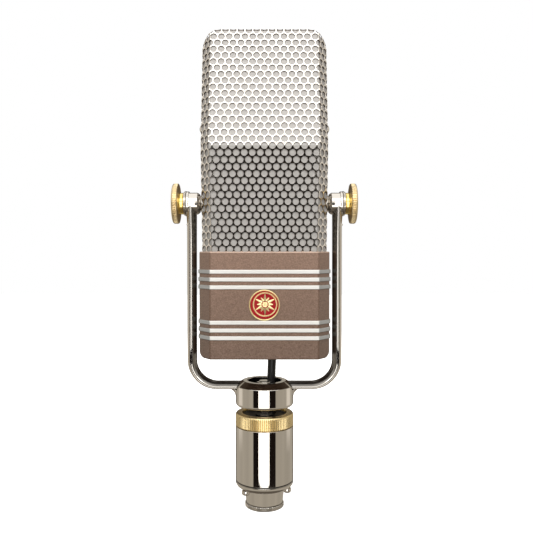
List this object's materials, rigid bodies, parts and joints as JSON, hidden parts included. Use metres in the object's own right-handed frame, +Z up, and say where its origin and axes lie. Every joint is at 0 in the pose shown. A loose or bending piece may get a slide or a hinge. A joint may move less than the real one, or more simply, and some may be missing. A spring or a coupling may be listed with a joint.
{
  "type": "ribbon microphone",
  "caption": "Large ribbon microphone: a tapered perforated cage over a banded painted housing, tilting in a nickel yoke on a rubber cushion mount with a stand thread.",
  "frame": {"origin": "mouth of the stand thread, on the axis of the cushion mount", "axes": "+Z up the mount's axis to the top of the cage, front of the head towards -Y, +X to the right as seen from behind the camera"},
  "size_m": [0.173, 0.082, 0.447],
  "materials": {
    "nickel": "polished nickel plate",
    "brass": "polished and knurled brass, clear lacquered",
    "grille": "nickel-plated perforated brass sheet",
    "screen": "fine woven wire screen",
    "paint": "bronze metallic paint, satin",
    "trim": "polished bare metal bands",
    "gold": "gilt badge rim",
    "enamel": "red enamel",
    "rubber": "black rubber",
    "lead": "matt black cable jacket",
    "steel": "bright steel fixings",
    "chassis": "cadmium-plated steel",
    "iron": "soft iron and magnet alloy",
    "foil": "thin aluminium foil",
    "board": "brown laminated board",
    "bronze": "sintered bronze",
    "copper": "enamelled copper wire and tape"
  },
  "bodies": {
    "stand": {"stand_nut": "nickel", "stand_clip": "steel"},
    "mount": {"mount_cap": "nickel", "mount_cylinder": "nickel", "cap_screws": "nickel", "cable_gland": "nickel", "gland_nut": "brass", "outlet_board": "board", "outlet_lugs": "copper", "lower_cushion": "rubber", "upper_cushion": "rubber"},
    "cushion_clamp": {"cushion_washer": "steel"},
    "lock_ring": {"lock_ring": "brass"},
    "yoke": {"isolator_stud": "nickel", "stud_nuts": "steel", "stud_washers": "steel", "yoke_fork": "nickel", "yoke_bushes": "bronze", "lead_grommet": "rubber", "mount_lead": "lead"},
    "head": {"pivot_studs": "nickel", "pivot_spacers": "nickel", "side_rails": "chassis", "rail_screws": "steel", "deck_plate": "chassis", "deck_screws": "steel", "tie_rods": "steel", "lower_housing": "paint", "housing_screws": "steel", "trim_bands": "trim", "badge_rim": "gold", "badge_enamel": "enamel", "front_grille": "grille", "rear_grille": "grille", "front_screen": "screen", "rear_screen": "screen", "cage_screws": "nickel", "magnet_block": "chassis", "magnet": "iron", "pole_pieces": "iron", "ribbon": "foil", "clamp_insulators": "board", "ribbon_clamps": "copper", "clamp_screws": "copper", "ribbon_wires": "copper", "transformer_bracket": "chassis", "transformer_core": "iron", "transformer_coil": "copper", "board_posts": "copper", "head_board": "board", "board_lugs": "copper", "head_gland": "rubber", "head_lead": "lead"},
    "left_washer": {"left_washers": "nickel"},
    "left_knob": {"left_thumb_nut": "brass"},
    "right_washer": {"right_washers": "nickel"},
    "right_knob": {"right_thumb_nut": "brass"}
  },
  "joints": [
    {"name": "mount_turn", "type": "hinge", "parent": "stand", "child": "mount", "pos_m": [0, 0, 0.008], "axis": [0, 0, 1], "continuous": true},
    {"name": "clamp_lift", "type": "slide", "parent": "mount", "child": "cushion_clamp", "axis": [0, 0, 1], "range_m": [0, 0.002]},
    {"name": "lock_ring_turn", "type": "hinge", "parent": "cushion_clamp", "child": "lock_ring", "pos_m": [0, 0, 0.084], "axis": [0, 0, 1], "range_deg": [0, 720]},
    {"name": "cushion_bounce", "type": "slide", "parent": "mount", "child": "yoke", "axis": [0, 0, 1], "range_m": [-0.0015, 0.0015], "stiffness_N_per_m": 60000, "springref_m": 0.0006, "deforming": ["lower_cushion", "upper_cushion", "mount_lead"]},
    {"name": "head_tilt", "type": "hinge", "parent": "yoke", "child": "head", "pos_m": [0, 0, 0.2884], "axis": [1, 0, 0], "range_deg": [-30, 30], "deforming": ["head_lead"]},
    {"name": "left_washer_slide", "type": "slide", "parent": "head", "child": "left_washer", "axis": [-1, 0, 0], "range_m": [0, 0.00125]},
    {"name": "left_knob_turn", "type": "hinge", "parent": "left_washer", "child": "left_knob", "pos_m": [-0.08, 0, 0.2884], "axis": [-1, 0, 0], "range_deg": [0, 360]},
    {"name": "right_washer_slide", "type": "slide", "parent": "head", "child": "right_washer", "axis": [1, 0, 0], "range_m": [0, 0.00125]},
    {"name": "right_knob_turn", "type": "hinge", "parent": "right_washer", "child": "right_knob", "pos_m": [0.08, 0, 0.2884], "axis": [1, 0, 0], "range_deg": [0, 360]}
  ],
  "couplings": [
    {"joint": "lock_ring_turn", "follows": "clamp_lift", "rad_per_m": 6283.2},
    {"joint": "left_knob_turn", "follows": "left_washer_slide", "rad_per_m": 5026.5},
    {"joint": "right_knob_turn", "follows": "right_washer_slide", "rad_per_m": 5026.5}
  ]
}
